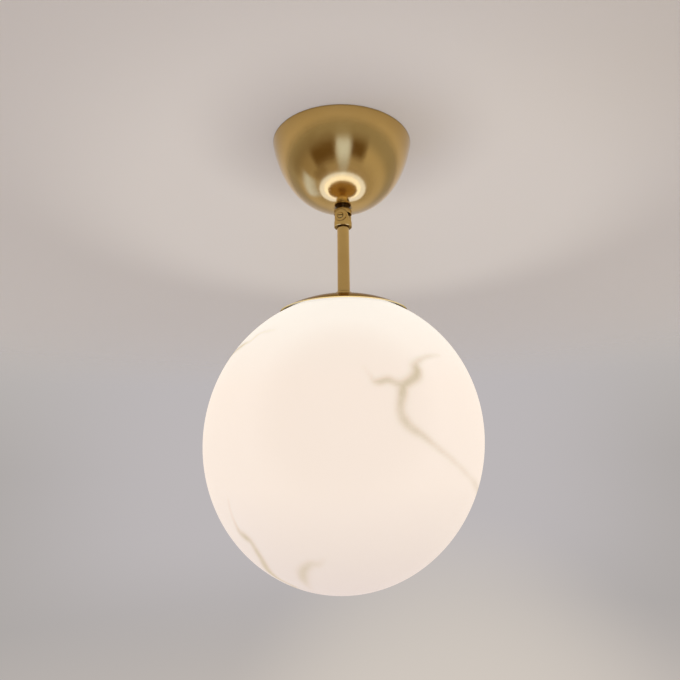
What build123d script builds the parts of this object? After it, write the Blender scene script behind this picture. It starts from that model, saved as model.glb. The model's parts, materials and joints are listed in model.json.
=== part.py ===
from build123d import *
import math
import os

os.makedirs("parts", exist_ok=True)

# A ceiling light: a glass globe under a brass stem, swivel and canopy.
# The origin is on the ceiling plane, on the axis of the light, and Z points up.

# Clearances
thread_gap = 0.05
slip_gap = 0.3
running_gap = 0.05

# Threaded tube that carries everything, M10 x 1
tube_r = 5.0
tube_bore_r = 3.5
nut_across = 14.0
nut_t = 3.0

# Ceiling bracket
bracket_w = 22.0
bracket_t = 2.0
bracket_drop = 11.0
bracket_half_span = 35.0
foot_len = 20.0
slot_spacing = 92.0
slot_len = 12.0
slot_w = 5.0
tube_above_nut = 1.5
washer_t = 0.8
washer_r = 9.0
washer_teeth = 12

# Terminal block and earth screw
pole_pitch = 9.0
pole_count = 3
block_len = 15.0
block_lug_len = 5.6
block_lug_w = 8.0
block_base_h = 6.0
barrel_r = 4.2
terminal_bore_r = 1.6
terminal_tube_r = 2.8
terminal_x = -21.5
terminal_screw_x = 4.0
terminal_screw_r = 1.5
block_screw_head_r = 2.6
earth_x = 22.0
earth_r = 2.0
earth_head_r = 3.8
earth_head_h = 2.6
clamp_half = 4.5
clamp_t = 1.0

# Canopy
canopy_r = 78.1
canopy_h = 77.0
canopy_t = 1.0
canopy_lean = 14.8
canopy_wall_pull = 69.0
canopy_bowl_pull = 21.8
canopy_seat_r = 9.5

# Swivel
neck_r = 6.6
neck_h = 3.5
body_r = 9.4
shoulder_to_pivot = 9.5
pivot_to_foot = 10.5
tongue_r = 7.6
pocket_gap = 0.4
saddle_h = 4.5
lap_gap = 0.6
boss_r = 6.15
boss_proud = 0.5
pivot_r = 2.0
chamber_inner_r = 3.2
chamber_outer_r = 5.4
chamber_depth = 3.0
wire_way_r = 1.6
wire_way_y = 2.3
head_r = 3.2
head_h = 1.8
head_sink = 0.8
pivot_nut_across = 7.0
pivot_nut_t = 2.4
friction_ring_r = 7.3
friction_ring_bore_r = 5.8
spigot_len = 8.0

# Stem and collar
stem_r = 6.4
stem_bore_r = 4.0
stem_len = 75.2
socket_depth = 12.0
collar_r = 9.4
collar_h = 5.0
collar_cup_depth = 2.0

# Globe and its cap
globe_r = 125.0
globe_t = 3.0
mouth_angle = 21.6
cap_t = 1.0
gasket_t = 1.0
cap_rim_angle = 30.0
cap_seat_r = 9.6
gasket_start_angle = 22.2
gasket_end_angle = 25.4

# Three-legged glass carrier and its spring claws
carrier_hub_r = 9.4
leg_bend_r = 8.6
leg_top_bend_r = 7.0
carrier_t = 1.2
leg_count = 3
leg_angle = 90.0
leg_w = 13.0
leg_end_inset = 10.0
leg_slope = 13.0
claw_t = 0.8
claw_w = 8.0
claw_root_len = 14.0
claw_bend_inset = 7.0
claw_hook_angle = 48.0
claw_hook_above = 3.2
claw_hook_below = 4.0
claw_bend = 2.0
claw_tail_inset = 5.5
claw_tail_drop = 9.0

# Lamp holder
holder_neck_r = 8.0
holder_neck_h = 7.5
holder_t = 2.0
holder_skirt_r = 20.5
holder_skirt_len = 14.0
holder_dome_h = 6.0
core_r = 16.3
core_t = 8.0
holder_lip = 0.6
socket_r = 13.4
socket_t = 0.4
socket_len = 25.0
socket_end_hole_r = 8.4
contact_w = 4.0
contact_len = 12.0
contact_t = 0.5
contact_rise = 2.0

# Lamp with a screw cap
lamp_cap_r = 13.0
lamp_cap_len = 18.0
lamp_contact_r = 4.8
lamp_contact_h = 1.4
lamp_insulator_h = 4.0
lamp_insulator_r = 10.5
lamp_housing_len = 27.0
lamp_r = 29.5
lamp_len = 110.0
lamp_shell_t = 1.2
lamp_neck_r = 25.5
lamp_collar_r = 13.8
lamp_cap_t = 0.4
lamp_spigot_len = 6.0
lamp_flare = 2.0

# Levels, measured down from the ceiling
bracket_low_z = -bracket_drop - bracket_t
lock_nut_z = bracket_low_z - washer_t
apex_z = -canopy_h
shoulder_z = apex_z - neck_h
pivot_z = shoulder_z - shoulder_to_pivot
foot_z = pivot_z - pivot_to_foot
stem_end_z = foot_z - stem_len
collar_low_z = stem_end_z - (collar_h - collar_cup_depth)
cap_top_z = collar_low_z
cap_under_z = cap_top_z - cap_t
cap_outer_r = globe_r + slip_gap + gasket_t + cap_t
cap_inner_r = cap_outer_r - cap_t
globe_z = cap_top_z - math.sqrt(cap_outer_r**2 - cap_seat_r**2)
globe_inner_r = globe_r - globe_t
mouth_r = globe_r * math.sin(math.radians(mouth_angle))
mouth_inner_z = globe_z + math.sqrt(globe_inner_r**2 - mouth_r**2)
carrier_low_z = cap_under_z - carrier_t
carrier_nut_z = carrier_low_z - nut_t
holder_top_z = carrier_nut_z
dome_z = holder_top_z - holder_neck_h
skirt_z = dome_z - holder_dome_h
core_top_z = skirt_z - holder_t
core_low_z = core_top_z - core_t
lamp_top_z = core_low_z - contact_t - contact_rise - slip_gap
lamp_insulator_z = lamp_top_z - lamp_contact_h
lamp_shell_z = lamp_insulator_z - lamp_insulator_h
lamp_housing_z = lamp_shell_z - lamp_cap_len
lamp_dome_z = lamp_housing_z - lamp_housing_len
lamp_low_z = lamp_top_z - lamp_len
lap_half = lap_gap / 2
boss_y = body_r + boss_proud
hole_r = tube_r + thread_gap
block_screw_x = terminal_x - (block_len + block_lug_len) / 2


def save(part, label):
    part.label = label
    export_step(part, f"parts/{label}.step")


def radial_plane(angle):
    turn = math.radians(angle)
    outward = (math.cos(turn), math.sin(turn), 0)
    sideways = (math.sin(turn), -math.cos(turn), 0)
    return Plane(origin=(0, 0, 0), x_dir=outward, z_dir=sideways)


def tube_between(outer_r, inner_r, high_z, low_z):
    with BuildPart() as ring:
        with BuildSketch(Plane.XY.offset(low_z)):
            Circle(outer_r)
            Circle(inner_r, mode=Mode.SUBTRACT)
        extrude(amount=high_z - low_z)
    return ring.part


def hex_nut(across, bore_r, high_z, thickness):
    with BuildPart() as nut:
        with BuildSketch(Plane.XY.offset(high_z - thickness)):
            RegularPolygon(across / 2, 6, major_radius=False)
            Circle(bore_r, mode=Mode.SUBTRACT)
        extrude(amount=thickness)
    return nut.part


# Ceiling bracket: a hat-shaped strap with two feet on the ceiling
web_outer = bracket_half_span + bracket_t
foot_end = web_outer + foot_len
with BuildPart() as ceiling_bracket:
    with BuildSketch(Plane.XZ):
        with BuildLine():
            Polyline(
                (-foot_end, 0),
                (-bracket_half_span, 0),
                (-bracket_half_span, -bracket_drop),
                (bracket_half_span, -bracket_drop),
                (bracket_half_span, 0),
                (foot_end, 0),
                (foot_end, -bracket_t),
                (web_outer, -bracket_t),
                (web_outer, bracket_low_z),
                (-web_outer, bracket_low_z),
                (-web_outer, -bracket_t),
                (-foot_end, -bracket_t),
                close=True,
            )
        make_face()
    extrude(amount=bracket_w / 2, both=True)
    bends = ceiling_bracket.edges().filter_by(Axis.Y)
    low_bends = bends.filter_by_position(Axis.Z, bracket_low_z - 0.1, bracket_low_z + 0.1)
    fillet(low_bends, bracket_t * 0.9)
    corners = ceiling_bracket.edges().filter_by(Axis.Z)
    fillet(corners.group_by(Axis.X)[0] + corners.group_by(Axis.X)[-1], bracket_w * 0.2)
    with BuildSketch(Plane.XY):
        with GridLocations(slot_spacing, 1, 2, 1):
            SlotOverall(slot_len, slot_w)
    extrude(amount=-bracket_t, mode=Mode.SUBTRACT)
    with BuildSketch(Plane.XY.offset(bracket_low_z)):
        Circle(hole_r)
        with Locations((earth_x, 0)):
            Circle(earth_r + thread_gap)
        with Locations((block_screw_x, 0)):
            Circle(terminal_screw_r + thread_gap)
    extrude(amount=bracket_t, mode=Mode.SUBTRACT)
save(ceiling_bracket.part, "ceiling_bracket")

# Threaded tube from the bracket to the swivel
tube_top_z = -bracket_drop + nut_t + tube_above_nut
tube_low_z = shoulder_z - thread_gap
ceiling_tube = tube_between(tube_r, tube_bore_r, tube_top_z, tube_low_z)
save(ceiling_tube, "ceiling_tube")

# Two hexagon nuts that clamp the tube to the bracket
with BuildPart() as bracket_nuts:
    add(hex_nut(nut_across, hole_r, -bracket_drop + nut_t, nut_t))
    add(hex_nut(nut_across, hole_r, lock_nut_z, nut_t))
save(bracket_nuts.part, "bracket_nuts")

# Toothed lock washer under the bracket
with BuildPart() as lock_washer:
    with BuildSketch(Plane.XY.offset(lock_nut_z)):
        Circle(washer_r)
        Circle(hole_r, mode=Mode.SUBTRACT)
        with PolarLocations(washer_r, washer_teeth):
            Rectangle(washer_r * 0.25, washer_r * 0.25, mode=Mode.SUBTRACT)
    extrude(amount=washer_t)
save(lock_washer.part, "lock_washer")

# Earth screw with its square clamp washer
clamp_low_z = bracket_low_z - clamp_t
with BuildPart() as earth_clamp:
    with BuildSketch(Plane.XY.offset(clamp_low_z)):
        with Locations((earth_x, 0)):
            RectangleRounded(2 * clamp_half, 2 * clamp_half, 1)
            Circle(earth_r + thread_gap, mode=Mode.SUBTRACT)
    extrude(amount=clamp_t)
save(earth_clamp.part, "earth_clamp")

with BuildPart() as earth_screw:
    with BuildSketch(Plane.XY.offset(clamp_low_z)):
        with Locations((earth_x, 0)):
            Circle(earth_head_r)
    extrude(amount=-earth_head_h)
    fillet(earth_screw.faces().sort_by(Axis.Z)[0].edges(), earth_head_h * 0.4)
    with BuildSketch(Plane.XY.offset(clamp_low_z)):
        with Locations((earth_x, 0)):
            Circle(earth_r)
    extrude(amount=clamp_t + bracket_t + earth_r)
    with BuildSketch(Plane.XY.offset(clamp_low_z - earth_head_h)):
        with Locations((earth_x, 0)):
            Rectangle(2 * earth_head_r, earth_r * 0.4)
            Rectangle(earth_r * 0.4, 2 * earth_head_r)
    extrude(amount=earth_head_h * 0.4, mode=Mode.SUBTRACT)
save(earth_screw.part, "earth_screw")

# Terminal block: a base with one barrel for each pole, and a lug for its screw
barrel_z = bracket_low_z - block_base_h
tower_z = barrel_z - barrel_r - 1
block_w = pole_pitch * pole_count
lug_t = block_base_h / 2


def pole_circles(radius):
    with BuildSketch(Plane.YZ.offset(terminal_x - block_len / 2)) as circles:
        with Locations((0, barrel_z)):
            with GridLocations(pole_pitch, 1, pole_count, 1):
                Circle(radius)
    return circles.sketch


def terminal_screw_circles(radius):
    with BuildSketch(Plane.XY.offset(tower_z)) as circles:
        with Locations((terminal_x, 0)):
            with GridLocations(2 * terminal_screw_x, pole_pitch, 2, pole_count):
                Circle(radius)
    return circles.sketch


with BuildPart() as terminal_block:
    with BuildSketch(Plane.XY.offset(bracket_low_z)):
        with Locations((terminal_x, 0)):
            RectangleRounded(block_len, block_w, 1)
    extrude(amount=-block_base_h)
    with BuildSketch(Plane.XY.offset(bracket_low_z)):
        with Locations((block_screw_x + terminal_screw_r / 2, 0)):
            RectangleRounded(block_lug_len + terminal_screw_r, block_lug_w, 1)
    extrude(amount=-lug_t)
    extrude(pole_circles(barrel_r), amount=block_len)
    extrude(terminal_screw_circles(terminal_tube_r), amount=barrel_r)
    extrude(pole_circles(terminal_tube_r), amount=block_len, mode=Mode.SUBTRACT)
    extrude(terminal_screw_circles(terminal_screw_r + thread_gap), amount=barrel_r, mode=Mode.SUBTRACT)
    with BuildSketch(Plane.XY.offset(bracket_low_z)):
        with Locations((block_screw_x, 0)):
            Circle(terminal_screw_r + thread_gap)
    extrude(amount=-block_base_h, mode=Mode.SUBTRACT)
save(terminal_block.part, "terminal_block")

# Brass wire tubes inside the terminal block
with BuildPart() as terminal_tubes:
    extrude(pole_circles(terminal_tube_r), amount=block_len)
    extrude(pole_circles(terminal_bore_r), amount=block_len, mode=Mode.SUBTRACT)
    extrude(terminal_screw_circles(terminal_screw_r + thread_gap), amount=barrel_r, mode=Mode.SUBTRACT)
save(terminal_tubes.part, "terminal_tubes")

# Clamping screws, two for each wire tube
with BuildPart() as terminal_screws:
    extrude(terminal_screw_circles(terminal_screw_r), amount=barrel_r)
save(terminal_screws.part, "terminal_screws")

# Screw through the lug of the terminal block
block_screw_head_z = bracket_low_z - lug_t
with BuildPart() as block_screw:
    with BuildSketch(Plane.XY.offset(block_screw_head_z)):
        with Locations((block_screw_x, 0)):
            Circle(terminal_screw_r)
    extrude(amount=lug_t + bracket_t + terminal_screw_r)
    with BuildSketch(Plane.XY.offset(block_screw_head_z)):
        with Locations((block_screw_x, 0)):
            Circle(block_screw_head_r)
    extrude(amount=-terminal_screw_r)
    fillet(block_screw.faces().sort_by(Axis.Z)[0].edges(), terminal_screw_r * 0.4)
save(block_screw.part, "block_screw")

# Canopy: a spun bowl with a flat seat for the swivel
def canopy_side(rim_r, height, seat_r):
    rim = (rim_r, 0)
    wall_pull = (rim_r - canopy_lean, -canopy_wall_pull)
    bowl_pull = (canopy_bowl_pull, -height)
    return Bezier(rim, wall_pull, bowl_pull, (seat_r, -height))


with BuildPart() as canopy:
    with BuildSketch(Plane.XZ):
        with BuildLine():
            canopy_side(canopy_r, canopy_h, canopy_seat_r)
            Line((canopy_seat_r, -canopy_h), (hole_r, -canopy_h))
            Line((hole_r, -canopy_h), (hole_r, canopy_t - canopy_h))
            Line((hole_r, canopy_t - canopy_h), (canopy_seat_r, canopy_t - canopy_h))
            canopy_side(canopy_r - canopy_t, canopy_h - canopy_t, canopy_seat_r)
            Line((canopy_r - canopy_t, 0), (canopy_r, 0))
        make_face()
    revolve(axis=Axis.Z)
save(canopy.part, "canopy")


# Swivel: two half-lap halves that turn about one screw along Y
# Side is 1 for the upper half, which lies at +Y, and -1 for the lower half
def swivel_ring(radius, inner_r, y):
    with BuildSketch(Plane.XZ.offset(-y)) as ring:
        with Locations((0, pivot_z)):
            Circle(radius)
            if inner_r > 0:
                Circle(inner_r, mode=Mode.SUBTRACT)
    return ring.sketch


def lap_opening(side):
    with BuildSketch(Plane.XZ.offset(-side * lap_half)) as opening:
        with Locations((0, pivot_z)):
            Circle(tongue_r + pocket_gap)
        with Locations((0, pivot_z + side * (saddle_h - 2 * body_r))):
            Rectangle(4 * body_r, 4 * body_r)
    return opening.sketch


def flank_waste(side):
    with BuildSketch(Plane.XZ) as waste:
        with Locations((0, pivot_z + side * (saddle_h - 2 * body_r))):
            Rectangle(4 * body_r, 4 * body_r)
        with Locations((0, pivot_z)):
            Circle(tongue_r, mode=Mode.SUBTRACT)
        with Locations((0, pivot_z + side * body_r / 2)):
            Rectangle(2 * tongue_r, body_r, mode=Mode.SUBTRACT)
    return waste.sketch


def shape_lap(side):
    extrude(lap_opening(side), amount=side * 2 * boss_y, mode=Mode.SUBTRACT)
    extrude(flank_waste(side), amount=2 * boss_y, both=True, mode=Mode.SUBTRACT)
    boss = swivel_ring(boss_r, 0, side * lap_half)
    extrude(boss, amount=-side * (boss_y - lap_half))
    chamber = swivel_ring(chamber_outer_r, chamber_inner_r, side * lap_half)
    extrude(chamber, amount=-side * chamber_depth, mode=Mode.SUBTRACT)
    pivot_hole = swivel_ring(pivot_r + running_gap, 0, 0)
    extrude(pivot_hole, amount=2 * boss_y, both=True, mode=Mode.SUBTRACT)


chamber_mid_r = (chamber_inner_r + chamber_outer_r) / 2
with BuildPart() as swivel_upper:
    with BuildSketch(Plane.XY.offset(shoulder_z)):
        Circle(body_r)
    extrude(amount=-(shoulder_to_pivot + tongue_r))
    chamfer(swivel_upper.faces().sort_by(Axis.Z)[-1].edges(), pocket_gap)
    with BuildSketch(Plane.XY.offset(shoulder_z)):
        Circle(neck_r)
    extrude(amount=neck_h)
    shape_lap(1)
    with BuildSketch(Plane.XY.offset(apex_z)):
        Circle(hole_r)
    extrude(amount=-(neck_h + pocket_gap), mode=Mode.SUBTRACT)
    with BuildSketch(Plane.XY.offset(shoulder_z)):
        with Locations((0, wire_way_y)):
            Circle(wire_way_r)
    extrude(amount=-(shoulder_to_pivot - chamber_mid_r), mode=Mode.SUBTRACT)
save(swivel_upper.part, "swivel_upper")

with BuildPart() as swivel_lower:
    with BuildSketch(Plane.XY.offset(foot_z)):
        Circle(body_r)
    extrude(amount=pivot_to_foot + tongue_r)
    chamfer(swivel_lower.faces().sort_by(Axis.Z)[0].edges(), pocket_gap)
    with BuildSketch(Plane.XY.offset(foot_z)):
        Circle(tube_r)
    extrude(amount=-spigot_len)
    shape_lap(-1)
    head_seat = swivel_ring(head_r + slip_gap, 0, -boss_y)
    extrude(head_seat, amount=-head_sink, mode=Mode.SUBTRACT)
    with BuildSketch(Plane.XY.offset(foot_z - spigot_len)):
        Circle(tube_bore_r)
    extrude(amount=spigot_len, mode=Mode.SUBTRACT)
    with BuildSketch(Plane.XY.offset(foot_z)):
        with Locations((0, -wire_way_y)):
            Circle(wire_way_r)
    extrude(amount=pivot_to_foot - chamber_mid_r, mode=Mode.SUBTRACT)
save(swivel_lower.part, "swivel_lower")

# Pivot screw with a slotted head at -Y
head_seat_y = boss_y - head_sink
with BuildPart() as pivot_screw:
    extrude(swivel_ring(head_r, 0, -head_seat_y), amount=head_h)
    fillet(pivot_screw.faces().sort_by(Axis.Y)[0].edges(), head_h * 0.35)
    extrude(swivel_ring(pivot_r, 0, -head_seat_y), amount=-(head_seat_y + boss_y + pivot_nut_t + slip_gap))
    with BuildSketch(Plane.XZ.offset(head_seat_y + head_h)):
        with Locations((0, pivot_z)):
            Rectangle(2 * head_r, head_r * 0.25)
    extrude(amount=-head_h * 0.45, mode=Mode.SUBTRACT)
save(pivot_screw.part, "pivot_screw")

# Nut on the far end of the pivot screw
with BuildPart() as pivot_nut:
    with BuildSketch(Plane.XZ.offset(-boss_y)):
        with Locations((0, pivot_z)):
            RegularPolygon(pivot_nut_across / 2, 6, major_radius=False)
            Circle(pivot_r + thread_gap, mode=Mode.SUBTRACT)
    extrude(amount=-pivot_nut_t)
save(pivot_nut.part, "pivot_nut")

# Friction ring between the two halves
with BuildPart() as friction_ring:
    extrude(swivel_ring(friction_ring_r, friction_ring_bore_r, lap_half), amount=lap_gap)
save(friction_ring.part, "friction_ring")

# Stem: a brass tube with a threaded socket at each end
with BuildPart() as stem:
    with BuildSketch(Plane.XY.offset(stem_end_z)):
        Circle(stem_r)
        Circle(stem_bore_r, mode=Mode.SUBTRACT)
    extrude(amount=stem_len)
    with BuildSketch(Plane.XY.offset(stem_end_z)):
        Circle(hole_r)
    extrude(amount=socket_depth, mode=Mode.SUBTRACT)
    with BuildSketch(Plane.XY.offset(foot_z)):
        Circle(hole_r)
    extrude(amount=-socket_depth, mode=Mode.SUBTRACT)
save(stem.part, "stem")

# Collar between the stem and the cap
with BuildPart() as stem_collar:
    with BuildSketch(Plane.XY.offset(collar_low_z)):
        Circle(collar_r)
        Circle(hole_r, mode=Mode.SUBTRACT)
    extrude(amount=collar_h)
    rim = stem_collar.faces().sort_by(Axis.Z)[-1].edges().sort_by(SortBy.LENGTH)[-1]
    fillet(rim, collar_h * 0.2)
    with BuildSketch(Plane.XY.offset(stem_end_z)):
        Circle(stem_r + thread_gap)
    extrude(amount=collar_cup_depth, mode=Mode.SUBTRACT)
save(stem_collar.part, "stem_collar")

# Threaded tube from the stem down into the lamp holder
lower_tube = tube_between(tube_r, tube_bore_r, stem_end_z + socket_depth - 1, dome_z)
save(lower_tube, "lower_tube")


# Cap: a shallow brass dome, concentric with the globe
def sphere_band(outer_r, inner_r, start_angle, end_angle):
    with BuildSketch(Plane.XZ) as band:
        with BuildLine():
            swept = end_angle - start_angle
            outer = CenterArc((0, globe_z), outer_r, 90 - end_angle, swept)
            inner = CenterArc((0, globe_z), inner_r, 90 - end_angle, swept)
            Line(outer @ 0, inner @ 0)
            Line(outer @ 1, inner @ 1)
        make_face()
    return band.sketch


with BuildPart() as shade_cap:
    seat_angle = math.degrees(math.asin(cap_seat_r / cap_outer_r))
    revolve(sphere_band(cap_outer_r, cap_inner_r, seat_angle, cap_rim_angle), axis=Axis.Z)
    with BuildSketch(Plane.XY.offset(cap_under_z)):
        Circle(cap_seat_r)
    extrude(amount=cap_t)
    with BuildSketch(Plane.XY.offset(cap_under_z)):
        Circle(hole_r)
    extrude(amount=cap_t, mode=Mode.SUBTRACT)
save(shade_cap.part, "shade_cap")

# Soft ring between the cap and the lip of the globe
with BuildPart() as glass_gasket:
    gasket_inner_r = cap_inner_r - gasket_t
    revolve(sphere_band(cap_inner_r, gasket_inner_r, gasket_start_angle, gasket_end_angle), axis=Axis.Z)
save(glass_gasket.part, "glass_gasket")

# Carrier: a hub with three sloping legs under the cap
leg_fall = math.tan(math.radians(leg_slope))


def leg_low_z(r):
    return carrier_low_z - (r - leg_bend_r) * leg_fall


leg_end_r = mouth_r - leg_end_inset
leg_angles = [leg_angle + 360 * n / leg_count for n in range(leg_count)]
with BuildPart() as glass_carrier:
    with BuildSketch(Plane.XY.offset(carrier_low_z)):
        Circle(carrier_hub_r)
    extrude(amount=carrier_t)
    for angle in leg_angles:
        with BuildSketch(radial_plane(angle)):
            with BuildLine():
                Polyline(
                    (0, carrier_low_z),
                    (leg_bend_r, carrier_low_z),
                    (leg_end_r, leg_low_z(leg_end_r)),
                    (leg_end_r, leg_low_z(leg_end_r) + carrier_t),
                    (leg_top_bend_r, cap_under_z),
                    (0, cap_under_z),
                    close=True,
                )
            make_face()
        extrude(amount=leg_w / 2, both=True)
    with BuildSketch(Plane.XY.offset(carrier_low_z)):
        Circle(hole_r)
    extrude(amount=carrier_t, mode=Mode.SUBTRACT)
save(glass_carrier.part, "glass_carrier")

# Nut that holds the cap and the carrier against the collar
save(hex_nut(nut_across, hole_r, carrier_low_z, nut_t), "carrier_nut")


# Spring claws: bent strips that hook under the lip of the globe
def claw(angle):
    hook_turn = math.radians(claw_hook_angle)
    along = Vector(math.cos(hook_turn), -math.sin(hook_turn))
    away = Vector(-math.sin(hook_turn), -math.cos(hook_turn))
    touch = Vector(mouth_r, mouth_inner_z) + away * (slip_gap + claw_t / 2)
    top_of_hook = touch - along * claw_hook_above
    belly = touch + along * claw_hook_below
    under_leg = thread_gap + claw_t / 2 / math.cos(math.radians(leg_slope))
    root_r = leg_end_r - claw_root_len
    bend_r = mouth_r - claw_bend_inset
    with BuildPart() as strip:
        with BuildSketch(radial_plane(angle)):
            with BuildLine():
                FilletPolyline(
                    (root_r, leg_low_z(root_r) - under_leg),
                    (bend_r, leg_low_z(bend_r) - under_leg),
                    top_of_hook,
                    belly,
                    (mouth_r - claw_tail_inset, belly.Y - claw_tail_drop),
                    radius=claw_bend,
                )
            trace(line_width=claw_t)
        extrude(amount=claw_w / 2, both=True)
    return strip.part


for number, angle in enumerate(leg_angles, start=1):
    save(claw(angle), f"claw_{number}")

# Lamp holder: cap, body, core, screw shell and centre contact
holder_inner_r = holder_skirt_r - holder_t
holder_low_z = skirt_z - holder_skirt_len
with BuildPart() as holder_cap:
    with BuildSketch(Plane.XZ):
        with BuildLine():
            neck_foot = (holder_neck_r, dome_z)
            shoulder = (holder_skirt_r, skirt_z)
            Line((hole_r, holder_top_z), (holder_neck_r, holder_top_z))
            Line((holder_neck_r, holder_top_z), neck_foot)
            Bezier(neck_foot, (holder_skirt_r, dome_z), shoulder)
            Polyline(
                shoulder,
                (holder_skirt_r, holder_low_z),
                (holder_inner_r, holder_low_z),
                (holder_inner_r, skirt_z - thread_gap),
                (holder_neck_r, dome_z - holder_t),
                (hole_r, dome_z - holder_t),
                (hole_r, holder_top_z),
            )
        make_face()
    revolve(axis=Axis.Z)
save(holder_cap.part, "holder_cap")

holder_end_z = core_low_z - socket_len - holder_lip
socket_way_r = socket_r + socket_t + slip_gap
with BuildPart() as holder_body:
    with BuildSketch(Plane.XY.offset(holder_end_z)):
        Circle(holder_inner_r - thread_gap)
        Circle(socket_way_r, mode=Mode.SUBTRACT)
    extrude(amount=core_top_z - holder_end_z)
    end_ring = holder_body.faces().sort_by(Axis.Z)[0].edges().sort_by(SortBy.LENGTH)[-1]
    fillet(end_ring, holder_t / 2)
    with BuildSketch(Plane.XY.offset(core_low_z)):
        Circle(core_r + thread_gap)
    extrude(amount=core_t, mode=Mode.SUBTRACT)
save(holder_body.part, "holder_body")

with BuildPart() as holder_core:
    with BuildSketch(Plane.XY.offset(core_low_z)):
        Circle(core_r)
        with GridLocations(core_r, 1, 2, 1):
            Circle(wire_way_r, mode=Mode.SUBTRACT)
        with GridLocations(1, core_r, 1, 2):
            Circle(terminal_screw_r, mode=Mode.SUBTRACT)
    extrude(amount=core_t)
save(holder_core.part, "holder_core")

shell_r = socket_r + socket_t
with BuildPart() as socket_shell:
    with BuildSketch(Plane.XY.offset(core_low_z)):
        Circle(shell_r)
    extrude(amount=-socket_len)
    with BuildSketch(Plane.XY.offset(core_low_z - socket_t)):
        Circle(socket_r)
    extrude(amount=-(socket_len - socket_t), mode=Mode.SUBTRACT)
    with BuildSketch(Plane.XY.offset(core_low_z)):
        Circle(socket_end_hole_r)
    extrude(amount=-socket_t, mode=Mode.SUBTRACT)
save(socket_shell.part, "socket_shell")

contact_z = core_low_z - contact_t / 2
with BuildPart() as centre_contact:
    with BuildSketch(Plane.XZ):
        with BuildLine():
            Polyline(
                (-contact_len / 2, contact_z),
                (-contact_len / 4, contact_z),
                (0, contact_z - contact_rise),
                (contact_len / 4, contact_z - contact_rise),
            )
        trace(line_width=contact_t)
    extrude(amount=contact_w / 2, both=True)
save(centre_contact.part, "centre_contact")

# Lamp: contact, insulator, screw cap, housing and diffuser
with BuildPart() as lamp_contact:
    with BuildSketch(Plane.XY.offset(lamp_insulator_z)):
        Circle(lamp_contact_r)
    extrude(amount=lamp_contact_h)
    fillet(lamp_contact.faces().sort_by(Axis.Z)[-1].edges(), lamp_contact_h * 0.6)
save(lamp_contact.part, "lamp_contact")

with BuildPart() as lamp_insulator:
    with BuildSketch(Plane.XZ):
        with BuildLine():
            Polyline(
                (0, lamp_insulator_z),
                (lamp_contact_r, lamp_insulator_z),
                (lamp_insulator_r, lamp_shell_z),
                (0, lamp_shell_z),
                close=True,
            )
        make_face()
    revolve(axis=Axis.Z)
save(lamp_insulator.part, "lamp_insulator")

lamp_slant_z = lamp_shell_z - (lamp_cap_r - lamp_insulator_r)
with BuildPart() as lamp_cap:
    with BuildSketch(Plane.XZ):
        with BuildLine():
            Polyline(
                (0, lamp_shell_z),
                (lamp_insulator_r, lamp_shell_z),
                (lamp_cap_r, lamp_slant_z),
                (lamp_cap_r, lamp_housing_z),
                (lamp_cap_r - lamp_cap_t, lamp_housing_z),
                (lamp_cap_r - lamp_cap_t, lamp_slant_z - lamp_cap_t),
                (lamp_insulator_r - lamp_cap_t, lamp_shell_z - lamp_cap_t),
                (0, lamp_shell_z - lamp_cap_t),
                close=True,
            )
        make_face()
    revolve(axis=Axis.Z)
save(lamp_cap.part, "lamp_cap")

lamp_spigot_r = lamp_cap_r - lamp_cap_t - thread_gap
with BuildPart() as lamp_housing:
    with BuildSketch(Plane.XZ):
        with BuildLine():
            collar_edge = (lamp_collar_r, lamp_housing_z)
            neck_edge = (lamp_neck_r, lamp_dome_z)
            Bezier(
                collar_edge,
                (lamp_collar_r, lamp_housing_z - lamp_housing_len * 0.5),
                (lamp_neck_r - lamp_flare, lamp_dome_z + lamp_housing_len * 0.4),
                neck_edge,
            )
            Polyline(
                neck_edge,
                (0, lamp_dome_z),
                (0, lamp_housing_z + lamp_spigot_len),
                (lamp_spigot_r, lamp_housing_z + lamp_spigot_len),
                (lamp_spigot_r, lamp_housing_z),
                collar_edge,
            )
        make_face()
    revolve(axis=Axis.Z)
save(lamp_housing.part, "lamp_housing")

lamp_round_z = lamp_low_z + lamp_r


def diffuser_side(inset):
    neck_edge = (lamp_neck_r - inset, lamp_dome_z)
    belly = (lamp_r - inset, lamp_round_z)
    pull = (lamp_dome_z - lamp_round_z) * 0.5
    flare = (lamp_neck_r - inset + lamp_flare, lamp_dome_z - pull * 0.6)
    Bezier(neck_edge, flare, (belly[0], lamp_round_z + pull), belly)
    CenterArc((0, lamp_round_z), lamp_r - inset, 0, -90)


with BuildPart() as lamp_diffuser:
    with BuildSketch(Plane.XZ):
        with BuildLine():
            diffuser_side(0)
            diffuser_side(lamp_shell_t)
            Line((lamp_neck_r, lamp_dome_z), (lamp_neck_r - lamp_shell_t, lamp_dome_z))
            Line((0, lamp_low_z), (0, lamp_low_z + lamp_shell_t))
        make_face()
    revolve(axis=Axis.Z)
save(lamp_diffuser.part, "lamp_diffuser")

# Globe: blown glass with a ground mouth at the top
outer_mouth_angle = math.degrees(math.acos(mouth_r / globe_r))
inner_mouth_angle = math.degrees(math.acos(mouth_r / globe_inner_r))
with BuildPart() as glass_globe:
    with BuildSketch(Plane.XZ):
        with BuildLine():
            outer = CenterArc((0, globe_z), globe_r, -90, 90 + outer_mouth_angle)
            inner = CenterArc((0, globe_z), globe_inner_r, -90, 90 + inner_mouth_angle)
            Line(outer @ 0, inner @ 0)
            Line(outer @ 1, inner @ 1)
        make_face()
    revolve(axis=Axis.Z)
save(glass_globe.part, "glass_globe")
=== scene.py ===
"""Looks for the glass ceiling light: camera, room, finishes and the marbled globe.

Lengths are in metres and angles in degrees, unless a comment says otherwise.
"""
import json
import math

import bpy
import numpy as np
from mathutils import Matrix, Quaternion, Vector


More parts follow.
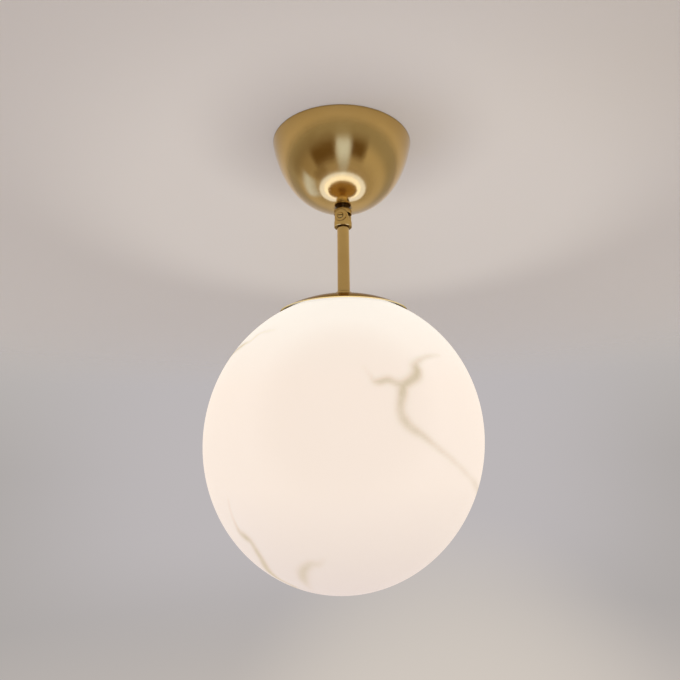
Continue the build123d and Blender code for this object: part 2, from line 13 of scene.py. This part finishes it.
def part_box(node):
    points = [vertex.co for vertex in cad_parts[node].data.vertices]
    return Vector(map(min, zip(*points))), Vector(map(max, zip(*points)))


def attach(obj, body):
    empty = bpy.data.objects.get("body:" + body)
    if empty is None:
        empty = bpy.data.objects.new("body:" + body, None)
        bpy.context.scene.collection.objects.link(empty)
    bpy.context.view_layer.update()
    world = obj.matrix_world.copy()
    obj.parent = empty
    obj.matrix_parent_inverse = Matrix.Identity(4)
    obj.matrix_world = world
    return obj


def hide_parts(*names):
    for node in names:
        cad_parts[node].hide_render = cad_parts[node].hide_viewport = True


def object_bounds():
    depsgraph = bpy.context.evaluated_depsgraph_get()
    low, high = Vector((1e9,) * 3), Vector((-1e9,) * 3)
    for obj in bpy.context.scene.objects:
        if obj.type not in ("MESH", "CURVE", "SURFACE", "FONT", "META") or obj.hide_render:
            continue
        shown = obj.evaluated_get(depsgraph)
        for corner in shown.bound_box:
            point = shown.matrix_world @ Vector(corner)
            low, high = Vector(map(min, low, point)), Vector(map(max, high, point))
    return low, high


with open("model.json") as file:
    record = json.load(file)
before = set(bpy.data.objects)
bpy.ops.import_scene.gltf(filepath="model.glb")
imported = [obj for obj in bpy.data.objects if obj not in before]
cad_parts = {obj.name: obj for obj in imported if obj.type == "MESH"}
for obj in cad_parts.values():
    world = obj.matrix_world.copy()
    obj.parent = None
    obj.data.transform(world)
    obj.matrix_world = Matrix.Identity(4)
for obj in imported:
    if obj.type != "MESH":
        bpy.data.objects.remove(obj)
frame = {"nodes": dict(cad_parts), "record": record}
cad_low, cad_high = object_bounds()
nodes = frame["nodes"]
scene = bpy.context.scene
scene.view_settings.view_transform = "Standard"

# The glass globe, whose centre is on the Z axis.
GLOBE_R = 0.125
GLOBE_T = 0.003
INNER_R = GLOBE_R - GLOBE_T
globe_low, globe_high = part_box("glass_globe")
GLOBE_Z = globe_low.z + GLOBE_R
MOUTH_Z = globe_high.z


def cosine(degrees):
    return math.cos(math.radians(degrees))


def sine(degrees):
    return math.sin(math.radians(degrees))


def polar(azimuth, elevation):
    """Unit vector from degrees round Z and degrees above the horizon."""
    return Vector((cosine(azimuth) * cosine(elevation), sine(azimuth) * cosine(elevation),
                   sine(elevation)))


# The camera is about level with the globe and looks up at the ceiling.
CAMERA_TURN = 17.0
CAMERA_FROM_GLOBE = 0.4903
CAMERA_BELOW_GLOBE = 0.0156
YAW, PITCH, ROLL = 2.92, 21.74, -1.74
LENS_MM, SENSOR_MM = 26.47, 36.0
SHIFT_X, SHIFT_Y = -0.0397, -0.1338
NEAREST_SEEN = 0.01

camera_data = bpy.data.cameras.new("camera")
camera_data.sensor_width = SENSOR_MM
camera_data.lens = LENS_MM
camera_data.shift_x = SHIFT_X
camera_data.shift_y = SHIFT_Y
camera_data.clip_start = NEAREST_SEEN
camera = bpy.data.objects.new("camera", camera_data)
scene.collection.objects.link(camera)
stand = polar(CAMERA_TURN - 90, 0) * CAMERA_FROM_GLOBE
camera.location = (stand.x, stand.y, GLOBE_Z - CAMERA_BELOW_GLOBE)
look = polar(90 - YAW + CAMERA_TURN, PITCH).to_track_quat("-Z", "Y")
camera.rotation_mode = "QUATERNION"
camera.rotation_quaternion = look @ Quaternion((0, 0, 1), math.radians(ROLL))
scene.camera = camera


def srgb(red, green, blue):
    """Linear colour from display values of 0 to 255."""
    def linear(value):
        value /= 255
        return value / 12.92 if value <= 0.04045 else ((value + 0.055) / 1.055) ** 2.4
    return (linear(red), linear(green), linear(blue), 1.0)


class Shader:
    """Short names for the nodes that the materials and the room share."""

    def __init__(self, owner, surface):
        owner.use_nodes = True
        self.owner = owner
        self.tree = owner.node_tree
        self.nodes = self.tree.nodes
        self.surface = self.nodes[surface]

    def set(self, node, name, value):
        """Gives an input a value, or links it where the value is another node's output."""
        if isinstance(value, bpy.types.NodeSocket):
            self.tree.links.new(value, node.inputs[name])
        else:
            node.inputs[name].default_value = value

    def dress(self, values):
        """Sets inputs of the surface."""
        for name, value in values.items():
            self.set(self.surface, name, value)

    def add(self, kind, **inputs):
        node = self.nodes.new("ShaderNode" + kind)
        for name, value in inputs.items():
            self.set(node, name, value)
        return node

    def operate(self, kind, operation, entries):
        """A node of a kind that has operations, with its entries in their order."""
        node = self.add(kind)
        node.operation = operation
        for place, entry in enumerate(entries):
            self.set(node, place, entry)
        return node

    def math(self, operation, *entries):
        return self.operate("Math", operation, entries).outputs[0]

    def vector(self, operation, *entries):
        """Both outputs of a sum with vectors: Vector and Value."""
        return self.operate("VectorMath", operation, entries).outputs

    def axes(self, vector):
        """X, Y and Z of a vector."""
        return self.add("SeparateXYZ", Vector=vector).outputs

    def blend(self, factor, first, second):
        """The first colour where the factor is 0 and the second where it is 1."""
        node = self.nodes.new("ShaderNodeMix")
        node.data_type = "RGBA"
        self.set(node, 0, factor)
        self.set(node, 6, first)
        self.set(node, 7, second)
        return node.outputs[2]

    def span(self, value, low, high, to_low, to_high, smooth=False):
        """Maps low to high onto to_low to to_high, and stays there beyond them."""
        node = self.nodes.new("ShaderNodeMapRange")
        node.interpolation_type = "SMOOTHSTEP" if smooth else "LINEAR"
        for place, entry in enumerate((value, low, high, to_low, to_high)):
            self.set(node, place, entry)
        return node.outputs[0]

    def spread(self, noise, low, high):
        """Maps the middle of a noise, where most of it lies, onto low to high."""
        return self.span(noise, 0.3, 0.7, low, high)

    def ramp(self, factor, stops):
        """Colour from stops, each a place from 0 to 1 and display values of 0 to 255."""
        node = self.add("ValToRGB", Fac=factor)
        elements = node.color_ramp.elements
        while len(elements) < len(stops):
            elements.new(0.5)
        for element, (place, colour) in zip(elements, stops):
            element.position = place
            element.color = srgb(*colour)
        return node.outputs[0]

    def place(self):
        """Where the point is in the object's own frame."""
        return self.add("TexCoord").outputs["Object"]

    def noise(self, vector, scale, detail, roughness=0.5):
        node = self.add("TexNoise", Vector=vector, Scale=scale, Detail=detail, Roughness=roughness)
        return node.outputs[0]

    def bump(self, height, strength, distance):
        return self.add("Bump", Height=height, Strength=strength, Distance=distance).outputs[0]


def new_material(name):
    """A shader for a material of its own, which is the shader's owner."""
    return Shader(bpy.data.materials.new(name), "Principled BSDF")


# On turned brass the brush's lines hardly change on their way round. A point counts as crowded,
# with full painted shade, below the first number of OPEN_AIR and as open, without it, above the
# second. It counts as a side below the first number of END_FACE and as an end face, which gets
# painted shade, above the second.
BRUSH_TWIST = 0.0004
BRUSH_SHARE, CLOUD_SHARE = 0.6, 0.4
OPEN_AIR = (0.40, 0.92)
END_FACE = (0.90, 0.98)


def turned_brass(name, deep, pale, painted_shade, edge, lacquer, reach, end_shade_amount, smoothest, roughest,
                 lines):
    """Brass brushed in rings round its axis, under a coat of lacquer.

    Painted shade darkens, towards its own dark colour, what has something within reach (crevices,
    gaps between parts, the rim against the ceiling), and the end faces by the amount given.
    The edge colour tints the brass at a low angle, and lines says how fine the brush is.
    """
    s = new_material(name)
    where = s.place()
    x, y, z = s.axes(where)
    radius = s.math("SQRT", s.math("ADD", s.math("MULTIPLY", x, x), s.math("MULTIPLY", y, y)))
    angle = s.math("MULTIPLY", s.math("ARCTAN2", y, x), BRUSH_TWIST)
    rings = s.add("CombineXYZ", X=radius, Y=angle, Z=z).outputs[0]
    brush = s.noise(rings, lines, detail=2.0)
    cloud = s.noise(where, 28.0, detail=4.0, roughness=0.6)
    # Painted shade: ambient occlusion pulls the base colour towards a dark colour in crevices, in
    # gaps between parts and where the rim meets the ceiling.
    crevice = s.add("AmbientOcclusion", Distance=reach)
    crevice.samples = 8
    open_air = s.span(crevice.outputs["AO"], *OPEN_AIR, 0.0, 1.0, smooth=True)
    # Painted shade: end faces, found by their upright normals, are darkened as though shaded.
    slope = s.math("ABSOLUTE", s.axes(s.add("TexCoord").outputs["Normal"])[2])
    end_face_shade = s.span(slope, *END_FACE, 0.0, end_shade_amount, smooth=True)
    painted_shade_mask = s.math("MAXIMUM", end_face_shade, s.math("SUBTRACT", 1.0, open_air))
    wear = s.math("ADD", s.math("MULTIPLY", brush, BRUSH_SHARE),
                  s.math("MULTIPLY", cloud, CLOUD_SHARE))
    tangent = s.add("Tangent")
    tangent.direction_type = "RADIAL"
    tangent.axis = "Z"
    s.dress({
        "Base Color": s.blend(painted_shade_mask, s.blend(cloud, deep, pale), painted_shade),
        "Specular Tint": edge,
        "Metallic": 1.0,
        "Roughness": s.spread(wear, smoothest, roughest),
        "Anisotropic": 0.6,
        "Anisotropic Rotation": 0.25,
        "Coat Weight": lacquer,
        "Coat Roughness": 0.12,
        "Tangent": tangent.outputs[0],
        "Normal": s.bump(brush, strength=0.12, distance=0.00004),
    })
    return s.owner


def plain_metal(name, deep, pale, smoothest, roughest, grain):
    """Plated or rolled metal with small spangles and a faint unevenness."""
    s = new_material(name)
    where = s.place()
    spangle = s.noise(where, grain, detail=4.0, roughness=0.65)
    uneven = s.noise(where, grain * 4, detail=2.0)
    s.dress({
        "Base Color": s.blend(spangle, deep, pale),
        "Metallic": 1.0,
        "Roughness": s.spread(spangle, smoothest, roughest),
        "Normal": s.bump(uneven, strength=0.15, distance=0.00005),
    })
    return s.owner


def moulded(name, deep, pale, smoothest, roughest, grain, depth):
    """Moulded plastic, rubber or ceramic: fine texture and a slight change of tone."""
    s = new_material(name)
    where = s.place()
    cloud = s.noise(where, 60.0, detail=3.0)
    fine = s.noise(where, grain, detail=3.0, roughness=0.6)
    s.dress({
        "Base Color": s.blend(cloud, deep, pale),
        "Roughness": s.spread(fine, smoothest, roughest),
        "Normal": s.bump(fine, strength=0.3, distance=depth),
    })
    return s.owner


def glowing_plastic(name):
    """Milky diffuser of the lamp, lit from within."""
    s = new_material(name)
    where = s.place()
    cloud = s.noise(where, 45.0, detail=3.0)
    fine = s.noise(where, 1800.0, detail=2.0)
    s.dress({
        "Base Color": s.blend(cloud, srgb(222, 216, 206), srgb(232, 228, 220)),
        "Roughness": s.spread(fine, 0.38, 0.52),
        "Emission Color": s.blend(cloud, srgb(255, 236, 205), srgb(255, 243, 220)),
        "Emission Strength": 0.75,
        "Normal": s.bump(fine, strength=0.2, distance=0.00003),
    })
    return s.owner


# The canopy, the stem and the cap are of one brass. The cap has a finish of its own, which stays
# darker where it is seen at a low angle.
# The darkest colour of each brass is painted shade, laid in crevices, against the ceiling and on
# end faces.
BRASS = {"deep": (0.58, 0.375, 0.10, 1), "pale": (0.67, 0.45, 0.14, 1),
         "painted_shade": (0.09, 0.05, 0.015, 1), "end_shade_amount": 0.0, "lines": 5200.0}

FINISHES = {
    "brushed_brass": turned_brass(
        "brushed_brass_finish", **BRASS, edge=(1, 0.97, 0.9, 1), lacquer=0.7, reach=0.005,
        smoothest=0.11, roughest=0.18),
    # Its darkest colour is painted shade as well.
    "brass_hardware": turned_brass(
        "brass_hardware_finish", deep=(0.56, 0.365, 0.105, 1), pale=(0.67, 0.455, 0.15, 1),
        painted_shade=(0.13, 0.07, 0.022, 1), edge=(0.7, 0.6, 0.4, 1), lacquer=0.2, reach=0.005,
        end_shade_amount=0.75, smoothest=0.13, roughest=0.22, lines=6500.0),
    "zinc_steel": plain_metal(
        "zinc_steel_finish", deep=(0.42, 0.43, 0.44, 1), pale=(0.62, 0.62, 0.60, 1),
        smoothest=0.30, roughest=0.46, grain=130.0),
    "spring_steel": plain_metal(
        "spring_steel_finish", deep=(0.34, 0.34, 0.35, 1), pale=(0.50, 0.50, 0.50, 1),
        smoothest=0.22, roughest=0.36, grain=240.0),
    "lamp_cap_metal": plain_metal(
        "lamp_cap_finish", deep=(0.55, 0.54, 0.52, 1), pale=(0.70, 0.69, 0.66, 1),
        smoothest=0.18, roughest=0.30, grain=300.0),
    "white_plastic": moulded(
        "white_plastic_finish", deep=srgb(222, 220, 214), pale=srgb(236, 234, 228),
        smoothest=0.36, roughest=0.50, grain=2400.0, depth=0.00003),
    "ceramic": moulded(
        "ceramic_finish", deep=srgb(214, 208, 196), pale=srgb(232, 227, 216),
        smoothest=0.22, roughest=0.42, grain=900.0, depth=0.00004),
    "black_plastic": moulded(
        "black_plastic_finish", deep=(0.012, 0.012, 0.013, 1), pale=(0.024, 0.024, 0.025, 1),
        smoothest=0.38, roughest=0.54, grain=2600.0, depth=0.00004),
    "silicone": moulded(
        "silicone_finish", deep=srgb(196, 192, 184), pale=srgb(214, 210, 202),
        smoothest=0.48, roughest=0.62, grain=1500.0, depth=0.00003),
    "lamp_diffuser": glowing_plastic("lamp_diffuser_finish"),
}
OWN_FINISH = {
    "shade_cap": turned_brass(
        "cap_brass_finish", **BRASS, edge=(0.40, 0.30, 0.17, 1), lacquer=0.1, reach=0.003,
        smoothest=0.12, roughest=0.20),
    "swivel_upper": FINISHES["brass_hardware"],
    "swivel_lower": FINISHES["brass_hardware"],
}

for part in frame["record"]["subparts"]:
    finish = OWN_FINISH.get(part["node"]) or FINISHES.get(part["material_slot"])
    if finish:
        for slot in nodes[part["node"]].material_slots:
            slot.material = finish

# The veins of the glass. Each is a line of points on the sphere: degrees round Z, degrees above
# the middle, the vein's half width in millimetres and its depth of colour. A vein has faded to a
# third of that depth at VEIN_FADE half widths from its line.
VEINS = (
    ((-66.3, 18.7, 1.4, 0.12), (-64.2, 15.7, 1.6, 0.2), (-63.1, 13.8, 1.8, 0.5),
     (-61.1, 13.5, 2.2, 0.8), (-58.1, 14.1, 2.4, 0.85), (-55.4, 13.3, 2.6, 0.85),
     (-52.8, 12.3, 3.4, 1.0)),
    ((-52.8, 12.3, 3.4, 1.0), (-49.6, 13.9, 3.2, 0.9), (-46.9, 15.7, 3.7, 1.0),
     (-45.7, 17.5, 3.9, 1.0), (-45.7, 19.5, 3.5, 0.85), (-43.8, 21.5, 2.5, 0.55),
     (-39.8, 23.3, 1.9, 0.4), (-35.1, 24.5, 1.6, 0.3), (-29.9, 25.2, 1.4, 0.15)),
    ((-52.8, 12.3, 3.4, 1.0), (-53.3, 9.5, 3.4, 1.0), (-54.3, 6.4, 3.2, 0.85),
     (-54.4, 3.5, 3.2, 0.85), (-53.4, 1.2, 3.2, 0.85), (-51.6, -0.8, 2.9, 0.8),
     (-49.2, -2.4, 2.6, 0.75), (-46.1, -4.1, 2.2, 0.6), (-41.5, -7.1, 2.0, 0.45),
     (-34.7, -10.8, 1.9, 0.4), (-25.7, -15.3, 1.9, 0.3), (-17.3, -18.9, 2.2, 0.3),
     (-10.7, -21.3, 2.8, 0.4), (2.0, -25.0, 2.6, 0.6), (12.0, -33.0, 2.8, 0.9),
     (25.0, -37.0, 2.4, 0.7), (41.0, -47.0, 2.0, 0.5), (58.0, -62.0, 1.6, 0.2)),
    ((-109.1, 38.3, 2.0, 0.15), (-112.9, 38.4, 2.0, 0.25), (-117.3, 38.6, 1.6, 0.3),
     (-120.5, 37.9, 1.4, 0.4), (-122.1, 36.3, 1.6, 0.5), (-123.6, 34.8, 1.4, 0.4),
     (-127.8, 34.5, 1.8, 0.5), (-131.6, 33.9, 2.6, 0.8), (-143.0, 31.0, 3.0, 0.9),
     (-151.0, 21.0, 2.6, 0.8), (-164.0, 15.0, 2.2, 0.6), (-176.0, 3.0, 1.6, 0.2)),
    ((-121.5, -22.4, 1.4, 0.15), (-122.6, -26.8, 1.6, 0.3), (-122.7, -31.3, 1.8, 0.4),
     (-122.3, -34.7, 2.8, 0.6), (-119.9, -36.1, 3.5, 0.9), (-117.7, -37.6, 2.9, 0.8),
     (-117.6, -41.5, 2.8, 0.75), (-119.1, -46.8, 3.0, 0.9), (-122.7, -51.3, 3.6, 1.0),
     (-124.5, -55.2, 3.8, 1.0), (-124.1, -58.7, 3.6, 0.9), (-121.0, -64.0, 3.0, 0.8),
     (-160.0, -68.0, 2.4, 0.7), (175.0, -60.0, 2.0, 0.5), (168.0, -48.0, 1.6, 0.2)),
    ((-83.6, -43.7, 2.0, 0.15), (-86.3, -45.6, 3.0, 0.35), (-89.9, -45.7, 3.0, 0.5),
     (-94.8, -48.9, 3.4, 0.6), (-98.2, -53.5, 3.4, 0.65), (-100.5, -58.5, 3.0, 0.4),
     (-101.0, -63.0, 2.4, 0.15)),
    ((20.0, 46.0, 1.4, 0.12), (25.0, 36.0, 2.4, 0.7), (33.0, 29.0, 3.2, 1.0),
     (34.0, 20.0, 3.0, 0.9), (40.0, 11.0, 2.8, 0.8), (52.0, 4.0, 2.2, 0.6), (66.0, -3.0, 1.9, 0.4),
     (80.0, -6.0, 1.4, 0.12)),
    ((33.0, 29.0, 3.2, 1.0), (40.0, 32.0, 2.8, 0.8), (45.0, 38.0, 2.2, 0.5),
     (54.0, 42.0, 1.4, 0.12)),
    ((104.0, 26.0, 1.4, 0.12), (112.0, 17.0, 2.4, 0.7), (124.0, 12.0, 3.2, 1.0),
     (131.0, 3.0, 3.0, 0.9), (132.0, -9.0, 2.8, 0.8), (141.0, -20.0, 2.2, 0.6),
     (156.0, -27.0, 1.9, 0.4), (170.0, -30.0, 1.4, 0.12)),
    ((124.0, 12.0, 3.2, 1.0), (133.0, 17.0, 2.8, 0.8), (141.0, 16.0, 2.2, 0.5),
     (150.0, 20.0, 1.4, 0.12)),
    ((92.0, -26.0, 1.4, 0.12), (99.0, -36.0, 2.2, 0.6), (96.0, -46.0, 2.8, 0.9),
     (107.0, -57.0, 2.2, 0.5)),
)
VEIN_FADE = 1.2


def smooth_run(knots, steps=4):
    """Catmull-Rom points through the knots."""
    padded = np.concatenate((2 * knots[:1] - knots[1:2], knots, 2 * knots[-1:] - knots[-2:-1]))
    run = []
    for p0, p1, p2, p3 in zip(padded, padded[1:], padded[2:], padded[3:]):
        for t in np.arange(steps) / steps:
            run.append(0.5 * (2 * p1 + (p2 - p0) * t + (2 * p0 - 5 * p1 + 4 * p2 - p3) * t * t
                              + (3 * p1 - p0 - 3 * p2 + p3) * t ** 3))
    return np.array(run + [knots[-1]])


def vein_field(points):
    """How much vein there is at each point, from 0 to 1, on a sphere round the origin."""
    field = np.zeros(len(points))
    for vein in VEINS:
        knots = np.array([(*(polar(azimuth, height) * GLOBE_R), width / 1000, depth)
                          for azimuth, height, width, depth in vein])
        run = smooth_run(knots)
        for a, b in zip(run, run[1:]):
            step = b[:3] - a[:3]
            t = np.clip((points - a[:3]) @ step / (step @ step), 0, 1)
            away = np.linalg.norm(points - a[:3] - t[:, None] * step, axis=1)
            width, depth = (a[3:] + (b - a)[3:] * t[:, None]).T
            field = np.maximum(field, depth * np.exp(-(away / (width * VEIN_FADE)) ** 2))
    return field


AROUND, OUTER_ROWS, INNER_ROWS = 384, 176, 60
SHARP_ANGLE = 40


def marble_globe():
    """The glass shell turned from its section, closed at the bottom and open at the mouth.

    The section is a list of (radius, angle from the top) up the outside and down the inside.
    """
    mouth_outer = math.acos((MOUTH_Z - GLOBE_Z) / GLOBE_R)
    mouth_inner = math.asin(GLOBE_R * math.sin(mouth_outer) / INNER_R)
    section = [(GLOBE_R, math.pi + (mouth_outer - math.pi) * k / OUTER_ROWS)
               for k in range(1, OUTER_ROWS + 1)]
    section += [(INNER_R, mouth_inner + (math.pi - mouth_inner) * k / INNER_ROWS)
                for k in range(INNER_ROWS)]
    turn = np.linspace(0, 2 * math.pi, AROUND, endpoint=False)
    rings = [np.stack((r * math.sin(e) * np.cos(turn), r * math.sin(e) * np.sin(turn),
                       np.full(AROUND, GLOBE_Z + r * math.cos(e))), axis=1) for r, e in section]
    poles = np.array([[0, 0, GLOBE_Z - GLOBE_R], [0, 0, GLOBE_Z - INNER_R]])
    points = np.concatenate(rings + [poles])
    last = (len(section) - 1) * AROUND
    outer_pole, inner_pole = last + AROUND, last + AROUND + 1
    faces = []
    for low in range(0, last, AROUND):
        high = low + AROUND
        faces += [(low + k, low + (k + 1) % AROUND, high + (k + 1) % AROUND, high + k)
                  for k in range(AROUND)]
    faces += [(outer_pole, (k + 1) % AROUND, k) for k in range(AROUND)]
    faces += [(inner_pole, last + k, last + (k + 1) % AROUND) for k in range(AROUND)]
    mesh = bpy.data.meshes.new("marble_globe")
    mesh.from_pydata(points.tolist(), [], faces)
    mesh.polygons.foreach_set("use_smooth", [True] * len(mesh.polygons))
    mesh.set_sharp_from_angle(angle=math.radians(SHARP_ANGLE))
    vein = mesh.attributes.new("vein", "FLOAT", "POINT")
    centred = points - np.array([0, 0, GLOBE_Z])
    vein.data.foreach_set("value", vein_field(centred).astype(np.float32))
    return bpy.data.objects.new("marble_globe", mesh)


# How the lit glass glows, from its bottom up, and the sides on which it is a little dimmer.
GLASS_GLOW = ((0.0, (219, 204, 196)), (0.16, (232, 217, 204)), (0.34, (246, 230, 214)),
              (0.62, (252, 236, 220)), (0.84, (253, 244, 231)), (1.0, (252, 246, 235)))
DIM_SIDES = (-73, 47, 167)
DIM_SIDE_HEIGHT = 6
DIM_SIDE_SPAN = (0.80, 0.96)
DIM_SIDE_DEPTH = 0.45
DIM_GLOW, VEIN_GLOW = srgb(238, 221, 204), srgb(198, 181, 146)
GLASS_COLOUR, VEIN_COLOUR = srgb(150, 147, 144), srgb(128, 120, 106)


def opal_glass():
    """Lit opal glass with soft, slightly smudged veins."""
    s = new_material("marble_glass_finish")
    where = s.place()
    smudge = s.noise(where, 55.0, detail=4.0, roughness=0.6)
    ripple = s.noise(where, 30.0, detail=2.0)
    attribute = s.add("Attribute")
    attribute.attribute_name = "vein"
    vein = s.math("MULTIPLY", attribute.outputs["Fac"], s.spread(smudge, 0.55, 1.0))
    vein.node.use_clamp = True
    height = s.span(s.axes(where)[2], GLOBE_Z - GLOBE_R, GLOBE_Z + GLOBE_R, 0.0, 1.0)
    outward = s.vector("SUBTRACT", where, (0, 0, GLOBE_Z))["Vector"]
    shade = 0.0
    for azimuth in DIM_SIDES:
        facing = s.vector("DOT_PRODUCT", outward, polar(azimuth, DIM_SIDE_HEIGHT) / GLOBE_R)
        side = s.span(facing["Value"], *DIM_SIDE_SPAN, 0.0, DIM_SIDE_DEPTH, smooth=True)
        shade = s.math("MAXIMUM", side, shade)
    glow = s.blend(shade, s.ramp(height, GLASS_GLOW), DIM_GLOW)
    s.dress({
        "Base Color": s.blend(vein, GLASS_COLOUR, VEIN_COLOUR),
        "Specular IOR Level": 0.25,
        "Emission Color": s.blend(vein, glow, VEIN_GLOW),
        "Emission Strength": 0.89,
        "Roughness": s.spread(smudge, 0.50, 0.62),
        "Normal": s.bump(ripple, strength=0.05, distance=0.0002),
    })
    return s.owner


globe = marble_globe()
scene.collection.objects.link(globe)
globe.data.materials.append(opal_glass())
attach(globe, "globe")
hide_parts("glass_globe")

# The stage: a ceiling just above the part and a floor far below it. The ceiling has light of its
# own, full in a pool beside the part and dimmer beyond it and next to the canopy.
STAGE_R = 4.0
STAGE_CORNERS = 64
CEILING_GAP = 0.0004
FLOOR_Z = -2.0
POOL_CENTRE = polar(CAMERA_TURN + 82, 0) * 0.2
POOL_EDGE = (0.28, 0.52)
CANOPY_SHADE = (0.07, 0.19)
DIMMED = 0.66


def stage_finish(name, colour, own_colour, own_light, fade):
    """Matt paint, seen from its front only, that fades to nothing between the fade's radii."""
    s = new_material(name)
    where = s.place()
    path = s.add("LightPath").outputs
    seen = s.math("MAXIMUM", path["Is Camera Ray"], path["Is Glossy Ray"])
    aside = s.vector("DISTANCE", where, POOL_CENTRE)["Value"]
    pool = s.span(aside, *POOL_EDGE, own_light, own_light * DIMMED, smooth=True)
    away = s.vector("LENGTH", where)["Value"]
    beside = s.span(away, *CANOPY_SHADE, DIMMED, 1.0, smooth=True)
    s.dress({
        "Base Color": colour,
        "Roughness": 0.9,
        "Emission Color": own_colour,
        "Emission Strength": s.math("MULTIPLY", s.math("MULTIPLY", seen, pool), beside),
    })
    hidden = s.math("MAXIMUM", s.span(away, *fade, 0.0, 1.0, smooth=True),
                    s.add("NewGeometry").outputs["Backfacing"])
    mix = s.add("MixShader", Fac=hidden)
    s.set(mix, 1, s.surface.outputs[0])
    s.set(mix, 2, s.add("BsdfTransparent").outputs[0])
    s.set(s.nodes["Material Output"], 0, mix.outputs[0])
    return s.owner


def stage_disc(name, level, facing_up, finish):
    """A flat disc round the Z axis, which isn't part of the object."""
    ring = [(STAGE_R * math.cos(turn), STAGE_R * math.sin(turn), level)
            for turn in (2 * math.pi * k / STAGE_CORNERS for k in range(STAGE_CORNERS))]
    corners = range(STAGE_CORNERS) if facing_up else reversed(range(STAGE_CORNERS))
    mesh = bpy.data.meshes.new(name)
    mesh.from_pydata(ring, [], [tuple(corners)])
    mesh.materials.append(finish)
    piece = bpy.data.objects.new(name, mesh)
    scene.collection.objects.link(piece)


stage_disc("ceiling", cad_high.z + CEILING_GAP, False,
           stage_finish("ceiling_paint", colour=srgb(206, 198, 190),
                        own_colour=srgb(207, 202, 193), own_light=0.50, fade=(0.1, 2.6)))
stage_disc("floor", FLOOR_Z, True,
           stage_finish("floor_paint", colour=srgb(214, 206, 200),
                        own_colour=srgb(214, 206, 200), own_light=0.0, fade=(1.4, 3.8)))

# The room: pale from below to above, with a dimmer band at the horizon, a haze in it behind the
# part and a paler pool under that. The dim and bright patches light the part and show in its
# brass, but the camera doesn't see them. Each has a strength, an azimuth, a half width, a lowest
# and a highest height, and a softness.
ROOM_TONES = ((0.0, (200, 192, 186)), (0.29, (204, 195, 187)), (0.345, (186, 179, 174)),
              (0.39, (172, 167, 164)), (0.49, (172, 167, 164)), (0.57, (185, 180, 177)),
              (0.65, (199, 191, 186)), (0.72, (205, 196, 188)))
HAZE_HEIGHTS = (-0.34, -0.12)
HAZE_COLOUR, POOL_COLOUR = srgb(188, 183, 184), srgb(214, 205, 195)
POOL_STRENGTH = 0.75
DIM_PATCHES = ((1.0, -112, 26, -46, -14, 10), (1.0, -42, 14, -40, -14, 8),
               (0.8, -140, 20, -60, -40, 10), (0.45, -150, 34, -40, -6, 10))
BRIGHT_PATCHES = ((1.0, -70, 11, -80, -17, 7), (0.9, 170, 21, -48, -27, 6))
DIM_COLOUR, BRIGHT_COLOUR = (0.16, 0.10, 0.04, 1), (0.86, 1.08, 1.9, 1)

world = bpy.data.worlds.new("room")
scene.world = world
room = Shader(world, "Background")
heading = room.add("TexCoord").outputs["Generated"]
up = room.axes(heading)[2]
flat = room.vector("MULTIPLY", heading, (1, 1, 0))["Vector"]
flat_heading = room.vector("NORMALIZE", flat)["Vector"]
unseen = room.math("SUBTRACT", 1.0, room.add("LightPath").outputs["Is Camera Ray"])


def within(vector, direction, far, near):
    """1 within near degrees of a direction, 0 beyond far degrees."""
    facing = room.vector("DOT_PRODUCT", vector, direction)["Value"]
    return room.span(facing, cosine(far), cosine(near), 0.0, 1.0, smooth=True)


def patch(strength, azimuth, half, low, high, soft):
    """A soft-edged patch of the room, as strong as strength says."""
    across = within(flat_heading, polar(azimuth, 0), half + soft, half - soft)
    rise = room.span(up, sine(low - soft), sine(low + soft), 0.0, 1.0, smooth=True)
    fall = room.span(up, sine(high - soft), sine(high + soft), 1.0, 0.0, smooth=True)
    area = room.math("MULTIPLY", across, room.math("MULTIPLY", rise, fall))
    return room.math("MULTIPLY", area, strength)


tone = room.ramp(room.span(up, -1.0, 1.0, 0.0, 1.0), ROOM_TONES)
haze = room.math("MULTIPLY", within(heading, polar(CAMERA_TURN + 90, 0), far=37, near=14),
                 room.span(up, *HAZE_HEIGHTS, 0.0, 1.0, smooth=True))
tone = room.blend(haze, tone, HAZE_COLOUR)
pool = room.math("MULTIPLY", within(heading, polar(CAMERA_TURN + 80, -27), far=22, near=4),
                 POOL_STRENGTH)
tone = room.blend(pool, tone, POOL_COLOUR)
dim = 0.0
for measures in DIM_PATCHES:
    dim = room.math("MAXIMUM", patch(*measures), dim)
tone = room.blend(room.math("MULTIPLY", dim, unseen), tone, DIM_COLOUR)
for measures in BRIGHT_PATCHES:
    tone = room.blend(room.math("MULTIPLY", patch(*measures), unseen), tone, BRIGHT_COLOUR)
room.dress({"Color": tone, "Strength": 1.0})

# What the globe throws upwards is brighter than its face, as the ring in the canopy shows. Only
# what is polished shows this lamp, and it moves with the globe.
LAMP_SIZE, LAMP_RISE, LAMP_WATTS = 0.234, 0.106, 0.130
LAMP_COLOUR = (0.84, 1.15, 2.5)

lamp_data = bpy.data.lights.new("glow_lamp", "AREA")
lamp_data.shape = "DISK"
lamp_data.size = LAMP_SIZE
lamp_data.energy = LAMP_WATTS
lamp_data.color = LAMP_COLOUR
glow = bpy.data.objects.new("glow_lamp", lamp_data)
glow.location = (0, 0, GLOBE_Z + LAMP_RISE)
glow.rotation_mode = "QUATERNION"
glow.rotation_quaternion = Vector((0, 0, 1)).to_track_quat("-Z", "Y")
glow.visible_camera = False
glow.visible_diffuse = False
scene.collection.objects.link(glow)
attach(glow, "globe")
